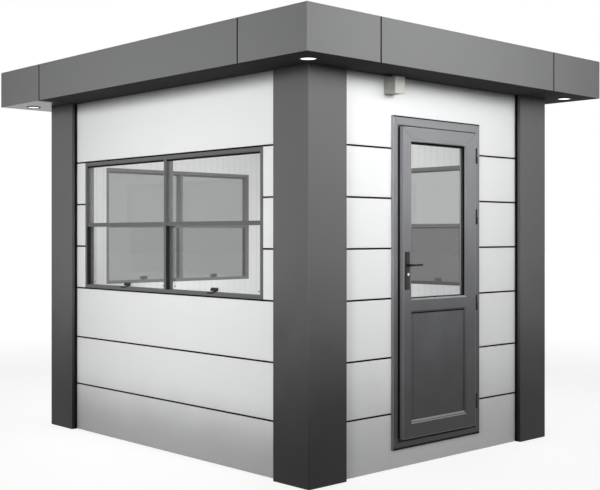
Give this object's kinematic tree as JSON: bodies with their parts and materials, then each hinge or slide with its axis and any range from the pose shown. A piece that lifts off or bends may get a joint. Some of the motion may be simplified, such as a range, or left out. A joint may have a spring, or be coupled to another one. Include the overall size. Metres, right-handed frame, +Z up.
{
  "type": "composite cabin",
  "caption": "Small flat-roofed cabin with white composite wall panels between broad dark corner posts, sliding windows, a hinged glazed door and a deep overhang with downlights.",
  "frame": {"origin": "middle of the footprint, on the ground", "axes": "+Z up, the door wall faces -Y, +X is to the right of someone who faces the door"},
  "size_m": [2.74, 3.24, 2.55],
  "materials": {
    "floor_base": "matt grey sheet",
    "floor_deck": "plain grey floor sheet",
    "post_anthracite": "satin anthracite composite sheet",
    "core_black": "dark joint behind the panels",
    "panel_white": "satin white composite sheet",
    "lining_white": "white grooved lining",
    "ceiling_white": "plain white sheet",
    "window_aluminium": "satin anodised aluminium",
    "window_glass": "clear glass",
    "latch_black": "black plastic",
    "door_slate": "satin slate grey profile",
    "door_panel_slate": "satin slate grey reeded panel",
    "door_glass": "clear glass",
    "hinge_black": "black coated metal",
    "handle_black": "black coated metal",
    "lock_steel": "bare bright metal",
    "roof_dark": "dark roof sheet",
    "fascia_anthracite": "satin anthracite composite sheet",
    "downlight_ring": "dark ring",
    "downlight_lens": "opal white lens",
    "box_beige": "plain off-white plastic"
  },
  "bodies": {
    "cabin": {"floor_base": "floor_base", "floor_deck": "floor_deck", "corner_post_front_left": "post_anthracite", "corner_post_front_right": "post_anthracite", "corner_post_back_left": "post_anthracite", "corner_post_back_right": "post_anthracite", "front_wall_core": "core_black", "left_wall_core": "core_black", "right_wall_core": "core_black", "back_wall_core": "core_black", "front_wall_panels": "panel_white", "left_wall_panels": "panel_white", "right_wall_panels": "panel_white", "back_wall_panels": "panel_white", "front_wall_lining": "lining_white", "left_wall_lining": "lining_white", "right_wall_lining": "lining_white", "back_wall_lining": "lining_white", "ceiling": "ceiling_white", "left_window_frame": "window_aluminium", "left_window_sashes": "window_aluminium", "right_window_frame": "window_aluminium", "right_window_sashes": "window_aluminium", "back_window_frame": "window_aluminium", "back_window_sashes": "window_aluminium", "left_window_panes": "window_glass", "right_window_panes": "window_glass", "back_window_panes": "window_glass", "left_window_latches": "latch_black", "right_window_latches": "latch_black", "back_window_latches": "latch_black", "door_frame": "door_slate", "door_frame_hinges": "hinge_black", "roof_panel": "roof_dark", "fascia_corners": "fascia_anthracite", "fascia_sides": "fascia_anthracite", "downlight_rings": "downlight_ring", "downlight_lenses": "downlight_lens", "connection_box": "box_beige"},
    "door": {"door_leaf": "door_slate", "door_glass": "door_glass", "door_panel": "door_panel_slate", "door_leaf_hinges": "hinge_black", "door_plates": "handle_black", "door_lock": "lock_steel"},
    "lever": {"door_lever": "handle_black"}
  },
  "joints": [
    {"name": "door_swing", "type": "hinge", "parent": "cabin", "child": "door", "pos_m": [0.358, -1.349, 1], "axis": [0, 0, 1], "range_deg": [0, 100]},
    {"name": "lever_turn", "type": "hinge", "parent": "door", "child": "lever", "pos_m": [-0.323, -1.335, 1.196], "axis": [0, 1, 0], "range_deg": [0, 40], "stiffness_Nm_per_rad": 1, "springref_deg": -28.65}
  ]
}
